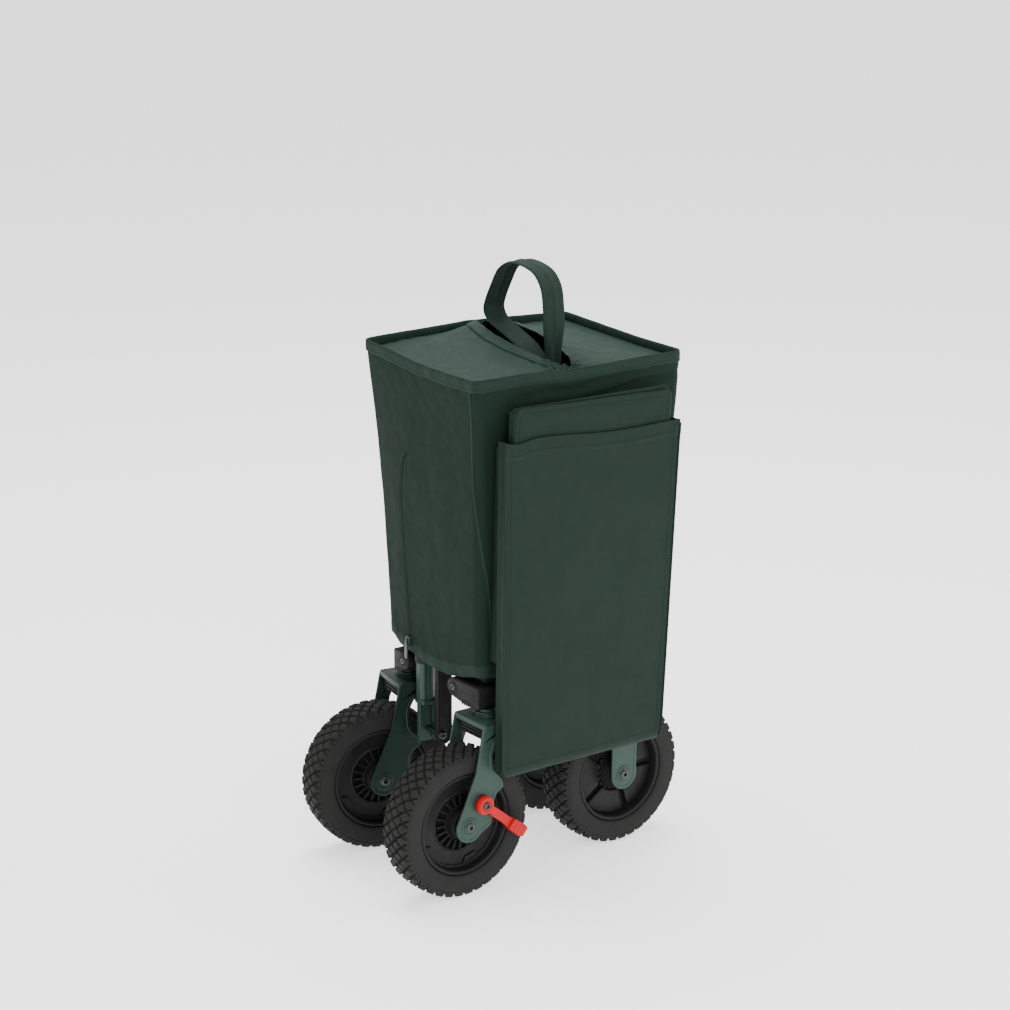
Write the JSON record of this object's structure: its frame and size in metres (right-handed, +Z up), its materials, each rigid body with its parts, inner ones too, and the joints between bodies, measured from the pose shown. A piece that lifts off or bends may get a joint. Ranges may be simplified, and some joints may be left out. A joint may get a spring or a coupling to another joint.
{
  "type": "folding camp wagon",
  "caption": "Camp wagon folded upright in its zipped storage cover, standing on two swivelling casters with foot brakes and two fixed wheels, with floor boards in a side pocket",
  "frame": {"origin": "bottom centre of the whole object's box, on the floor between the wheels", "axes": "+Z up, -X towards the swivelling front casters, -Y towards the side with the floor-board pocket"},
  "size_m": [0.4624, 0.2848, 0.7769],
  "materials": {
    "green_paint": "satin powder coat, dark green",
    "black_plastic": "moulded, matte black",
    "steel": "zinc-plated fasteners and tube",
    "tyre_rubber": "matte black foam tyre",
    "green_cloth": "dark green woven polyester",
    "red_plastic": "red moulded plastic"
  },
  "bodies": {
    "frame": {"corner_block_front_near": "black_plastic", "corner_post_front_near": "green_paint", "post_slider_front_near": "black_plastic", "corner_block_front_far": "black_plastic", "corner_post_front_far": "green_paint", "post_slider_front_far": "black_plastic", "corner_block_rear_near": "black_plastic", "corner_post_rear_near": "green_paint", "post_slider_rear_near": "black_plastic", "corner_block_rear_far": "black_plastic", "corner_post_rear_far": "green_paint", "post_slider_rear_far": "black_plastic", "side_link_near_front_outer": "green_paint", "side_link_near_front_inner": "green_paint", "side_link_near_rear_outer": "green_paint", "side_link_near_rear_inner": "green_paint", "side_link_far_front_outer": "green_paint", "side_link_far_front_inner": "green_paint", "side_link_far_rear_outer": "green_paint", "side_link_far_rear_inner": "green_paint", "end_link_front_outer": "green_paint", "end_link_front_inner": "green_paint", "end_link_rear_outer": "green_paint", "end_link_rear_inner": "green_paint", "rear_hanger_near": "green_paint", "rear_axle_near": "steel", "rear_hanger_far": "green_paint", "rear_axle_far": "steel", "tub_bundle": "green_cloth", "floor_hub": "black_plastic", "strap_anchor": "black_plastic", "handle_carrier": "black_plastic", "handle_foot": "green_paint", "handle_outer_tube": "green_paint", "handle_hinge_pin": "steel"},
    "caster_near": {"fork_near": "green_paint", "fork_insert_near": "black_plastic", "axle_near": "steel"},
    "caster_far": {"fork_far": "green_paint", "fork_insert_far": "black_plastic", "axle_far": "steel"},
    "brake_near": {"brake_lever_near": "red_plastic"},
    "brake_far": {"brake_lever_far": "red_plastic"},
    "wheel_front_near": {"tyre_front_near": "tyre_rubber", "rim_front_near": "black_plastic"},
    "wheel_front_far": {"tyre_front_far": "tyre_rubber", "rim_front_far": "black_plastic"},
    "wheel_rear_near": {"tyre_rear_near": "tyre_rubber", "rim_rear_near": "black_plastic"},
    "wheel_rear_far": {"tyre_rear_far": "tyre_rubber", "rim_rear_far": "black_plastic"},
    "cover": {"cover_shell": "green_cloth", "board_pocket": "green_cloth"},
    "boards": {"floor_boards": "green_cloth"},
    "strap": {"carry_strap": "green_cloth"},
    "zip_slider": {"zip_slider": "steel"},
    "zip_pull": {"zip_pull": "steel"},
    "handle_inner": {"handle_inner_tube": "steel", "handle_grip": "black_plastic"},
    "handle_button": {"handle_button": "red_plastic"}
  },
  "joints": [
    {"name": "near_caster_swivel", "type": "hinge", "parent": "frame", "child": "caster_near", "pos_m": [-0.0852, -0.08997, 0.2272], "axis": [0, 0, 1], "range_deg": [-14, 12]},
    {"name": "near_brake", "type": "hinge", "parent": "caster_near", "child": "brake_near", "pos_m": [-0.1146, -0.08997, 0.1237], "axis": [0, 1, 0], "range_deg": [0, 35]},
    {"name": "front_near_wheel_spin", "type": "hinge", "parent": "caster_near", "child": "wheel_front_near", "pos_m": [-0.1342, -0.08997, 0.097], "axis": [0, 1, 0], "continuous": true},
    {"name": "far_caster_swivel", "type": "hinge", "parent": "frame", "child": "caster_far", "pos_m": [-0.0782, 0.09393, 0.2272], "axis": [0, 0, 1], "range_deg": [-10, 16]},
    {"name": "far_brake", "type": "hinge", "parent": "caster_far", "child": "brake_far", "pos_m": [-0.10715, 0.09904, 0.1237], "axis": [0.1736, 0.9848, 0], "range_deg": [0, 35]},
    {"name": "front_far_wheel_spin", "type": "hinge", "parent": "caster_far", "child": "wheel_front_far", "pos_m": [-0.12646, 0.10244, 0.097], "axis": [0.1736, 0.9848, 0], "continuous": true},
    {"name": "rear_near_wheel_spin", "type": "hinge", "parent": "frame", "child": "wheel_rear_near", "pos_m": [0.1342, -0.06237, 0.097], "axis": [0, 1, 0], "continuous": true},
    {"name": "rear_far_wheel_spin", "type": "hinge", "parent": "frame", "child": "wheel_rear_far", "pos_m": [0.1342, 0.07703, 0.097], "axis": [0, 1, 0], "continuous": true},
    {"name": "cover_lift_off", "type": "slide", "parent": "frame", "child": "cover", "axis": [0, 0, 1], "range_m": [0, 0.52]},
    {"name": "floor_boards_slide_out", "type": "slide", "parent": "cover", "child": "boards", "axis": [0.0384, 0, 0.9993], "range_m": [0, 0.47]},
    {"name": "carry_strap_swing", "type": "hinge", "parent": "frame", "child": "strap", "pos_m": [0.0408, 0.00463, 0.6447], "axis": [0, 1, 0], "range_deg": [-8, 8]},
    {"name": "zip_slide", "type": "slide", "parent": "cover", "child": "zip_slider", "axis": [-0.0484, 0.0118, 0.9988], "range_m": [0, 0.21]},
    {"name": "zip_pull_swing", "type": "hinge", "parent": "zip_slider", "child": "zip_pull", "pos_m": [-0.10801, 0.05476, 0.2913], "axis": [0, 1, 0], "range_deg": [0, 120]},
    {"name": "handle_telescope", "type": "slide", "parent": "frame", "child": "handle_inner", "axis": [0, 0, 1], "range_m": [0, 0.04]},
    {"name": "handle_button_press", "type": "slide", "parent": "handle_inner", "child": "handle_button", "axis": [0, 1, 0], "range_m": [0, 0.002], "stiffness_N_per_m": 300}
  ]
}
